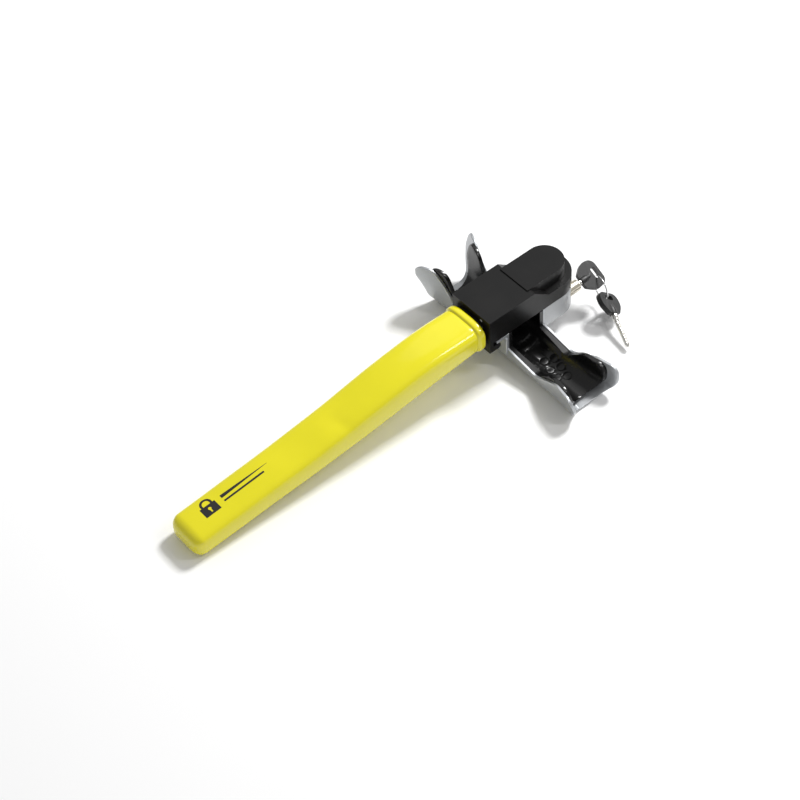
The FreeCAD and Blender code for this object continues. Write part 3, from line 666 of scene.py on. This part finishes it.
@dataclass
class Head:
    """The black head block with its hook, and the cover over the pivot."""

    wardrobe: Wardrobe
    screw_at: Point = (-49.1, -15.1, 47.0)
    screw_radius: float = 1.5
    screw_profile: tuple[tuple[float, float], ...] = ((2.0, 1.0), (0.0, 1.0), (-0.15, 1.0), (-0.38, 0.86),
                                                      (-0.5, 0.6))
    screw_sides: int = 32

    def locating_screw(self) -> None:
        """A small bright round-headed screw in the head's face towards the handle."""
        rings = []
        for out, radius in self.screw_profile:
            rings.append([((self.screw_at[0] + out) * MM,
                           (self.screw_at[1] + self.screw_radius * radius * math.cos(turn)) * MM,
                           (self.screw_at[2] + self.screw_radius * radius * math.sin(turn)) * MM)
                          for turn in (2 * math.pi * step / self.screw_sides
                                       for step in range(self.screw_sides))])
        self.wardrobe.piece("locating_screw", skin("locating_screw", rings), "plated_steel", Body.ARM)

    def build(self) -> None:
        """Dress the head and its small parts."""
        self.wardrobe.node("head", 0.7)
        self.wardrobe.node("pivot_cover", 0.8)
        for name in ("cover_pins", "pivot_pin", "pivot_washer", "pivot_circlip"):
            self.wardrobe.node(name)
        self.locating_screw()


@dataclass
class Cradle:
    """The bent steel cradle, its rubber liner and the rail that the hook grips."""

    wardrobe: Wardrobe
    seat: float = 19.0
    flare: float = 11.0
    flats: tuple[float, float] = (-64.0, 54.0)
    reaches: tuple[float, float] = (-132.0, 102.5)
    ridge_ends: tuple[float, float] = (-116.0, 86.0)
    wall_limit: float = 34.0
    ridge_level: float = -11.5
    ridge_half: float = 0.35
    ridge_steps: int = 60
    weld_at: float = -26.3
    weld_low: float = -7.6
    weld_rise: float = 22.2
    weld_steps: int = 44

    def wall(self, y: float, z: float) -> float:
        """Half width of the seat at a place, in millimetres."""
        flat, reach = (self.flats[0], self.reaches[0] - 3) if y < 0 else (self.flats[1], self.reaches[1] + 3)
        share = max(0.0, (y - flat) / (reach - flat))
        lean = 1.6 * self.flare * share * share
        return self.seat + lean * (z + self.seat) / (self.wall_limit + self.seat)

    def ridge(self, name: str, side: int) -> None:
        """A thin moulded rib along one inner wall of the liner.

        Args:
            name: name of the piece.
            side: -1 or 1 along X.
        """
        start, end = self.ridge_ends
        path = []
        for step in range(self.ridge_steps + 1):
            y = start + (end - start) * step / self.ridge_steps
            path.append(Vector((side * self.wall(y, self.ridge_level) * MM, y * MM, self.ridge_level * MM)))
        mesh = swept(name, path, lambda share: (self.ridge_half * MM, self.ridge_half * 1.3 * MM), 10)
        self.wardrobe.piece(name, mesh, "liner_rubber", Body.CRADLE)

    def rail_welds(self) -> None:
        """Weld seams that hold the catch rail on the cradle's wall."""
        low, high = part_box("catch_rail")
        x = self.weld_at * MM - 0.8 * MM
        for name, y, turn in (("rail_weld_near", low.y, -1), ("rail_weld_far", high.y, 1)):
            path = [Vector((x, y + turn * 0.2 * MM,
                            (self.weld_low + self.weld_rise * step / self.weld_steps) * MM))
                    for step in range(self.weld_steps + 1)]
            mesh = swept(name, path, lambda share: (1.5 * MM + 0.25 * MM * math.sin(share * 70), 1.3 * MM),
                         12, Vector((1, 0, 0)))
            self.wardrobe.piece(name, mesh, "cradle_paint", Body.CRADLE)

    def build(self) -> None:
        """Dress the cradle and add the liner's ribs and the welds."""
        self.wardrobe.node("cradle", 1.1, 4)
        self.wardrobe.node("liner", 0.25, 2)
        self.wardrobe.node("catch_rail", 0.6)
        self.wardrobe.node("wall_screws")
        for side, word in ((-1, "handle"), (1, "pivot")):
            self.ridge(f"liner_rib_low_{word}", side)
        self.rail_welds()


@dataclass
class LockHousing:
    """The silver casting with the lock's works."""

    wardrobe: Wardrobe
    plain: tuple[str, ...] = ("base_screws", "cylinder_screw", "pivot_bush", "lock_discs", "side_bar",
                              "cam_screw", "lock_cam", "lock_bolt", "bolt_spring")

    def build(self) -> None:
        """Dress the casting and what it holds."""
        self.wardrobe.node("lock_housing", 0.8)
        self.wardrobe.node("housing_base", 0.4)
        self.wardrobe.node("lock_cylinder", 0.3)
        self.wardrobe.node("lock_plug", 0.2)
        for name in self.plain:
            self.wardrobe.node(name)


@dataclass
class Keys:
    """The key in the lock, the wire ring and the spare key."""

    wardrobe: Wardrobe

    def build(self) -> None:
        """Dress both keys and the ring."""
        for name in ("key_grip", "spare_grip"):
            self.wardrobe.node(name, 1.1, 4)
        for name in ("key_blade", "spare_blade"):
            self.wardrobe.node(name, 0.15, 2)
        self.wardrobe.node("key_ring")


# ---------------------------------------------------------------- studio
@dataclass
class Studio:
    """Floor, lights and camera."""

    aim: Point = (-18.6, 0.0, 52.0)
    distance: float = 2.0
    elevation: float = 46.97
    heading: float = 41.35
    roll: float = -0.78
    lens: float = 90.0
    shift: tuple[float, float] = (-0.1171, -0.1327)
    floor_from: tuple[float, float] = (-10.3, -26.5)
    floor_to: tuple[float, float] = (-401.0, -15.5)
    lights: tuple[tuple[str, Point, float, float, float], ...] = (
        ("key_light", (2.0, 0.2, 2.3), 0.60, 0.60, 92.0),
        ("edge_light", (0.62, -0.75, 1.30), 0.08, 0.6, 4.0),
        ("sheen_light", (0.85, 1.0, 1.45), 0.9, 0.9, 1.4),
    )
    world_strength: float = 0.42
    floor_half: float = 6.0

    def floor(self) -> None:
        """A pale floor that touches the cradle's bottom and the end of the handle."""
        (x_low, z_low), (x_far, z_far) = self.floor_from, self.floor_to
        slope = (z_far - z_low) / (x_far - x_low)
        mesh = bpy.data.meshes.new("floor")
        build = bmesh.new()
        corners = [build.verts.new((x * self.floor_half, y * self.floor_half,
                                    z_low * MM + (x * self.floor_half - x_low * MM) * slope))
                   for x, y in ((-1, -1), (1, -1), (1, 1), (-1, 1))]
        build.faces.new(corners)
        build.to_mesh(mesh)
        build.free()
        made = bpy.data.objects.new("floor", mesh)
        bpy.context.scene.collection.objects.link(made)
        graph = Graph("floor_card")
        card = graph.noise(3.0, 2.0)
        graph.shade(Base_Color=graph.mix(card, grey(0.93), grey(0.95)), Roughness=0.75,
                    Specular_IOR_Level=0.2)
        mesh.materials.append(graph.material)

    def lamps(self) -> None:
        """Soft area lights and a white surrounding."""
        middle = Vector((-0.12, 0.0, 0.0))
        for name, spot, width, height, power in self.lights:
            data = bpy.data.lights.new(name, "AREA")
            data.shape, data.size, data.size_y, data.energy = "RECTANGLE", width, height, power
            lamp = bpy.data.objects.new(name, data)
            lamp.location = Vector(spot)
            lamp.rotation_euler = (middle - lamp.location).to_track_quat("-Z", "Y").to_euler()
            bpy.context.scene.collection.objects.link(lamp)
        world = bpy.data.worlds.new("studio")
        world.use_nodes = True
        back = world.node_tree.nodes["Background"]
        back.inputs["Color"].default_value = (1.0, 1.0, 1.0, 1.0)
        back.inputs["Strength"].default_value = self.world_strength
        bpy.context.scene.world = world

    def camera(self) -> None:
        """A long lens that looks down at the lock from the handle's near side."""
        up_turn, side_turn = math.radians(self.elevation), math.radians(self.heading)
        roll = math.radians(self.roll)
        towards = Vector((-math.cos(up_turn) * math.sin(side_turn), -math.cos(up_turn) * math.cos(side_turn),
                          math.sin(up_turn)))
        right = Vector((math.cos(side_turn), -math.sin(side_turn), 0))
        up = towards.cross(right)
        right, up = (right * math.cos(roll) + up * math.sin(roll),
                     up * math.cos(roll) - right * math.sin(roll))
        data = bpy.data.cameras.new("camera")
        data.lens, data.sensor_width = self.lens, 36.0
        data.shift_x, data.shift_y = self.shift
        data.clip_start, data.clip_end = 0.05, 50.0
        made = bpy.data.objects.new("camera", data)
        made.matrix_world = Matrix.Translation(Vector(self.aim) * MM + towards * self.distance) @ Matrix(
            (right, up, towards)).transposed().to_4x4()
        bpy.context.scene.collection.objects.link(made)
        bpy.context.scene.camera = made
        bpy.context.scene.view_settings.view_transform = "Standard"

    def build(self) -> None:
        """Set up the studio."""
        self.camera()
        self.floor()
        self.lamps()


def main() -> None:
    """Build the studio, then every sub-assembly in order."""
    logging.basicConfig(level=logging.INFO, format="%(name)s: %(message)s")
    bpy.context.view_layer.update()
    Studio().build()
    wardrobe = Wardrobe()
    for assembly in (Cradle, LockHousing, Head, Handle, Keys):
        LOG.info("building %s", assembly.__name__)
        assembly(wardrobe).build()


if __name__ == "__main__":
    main()
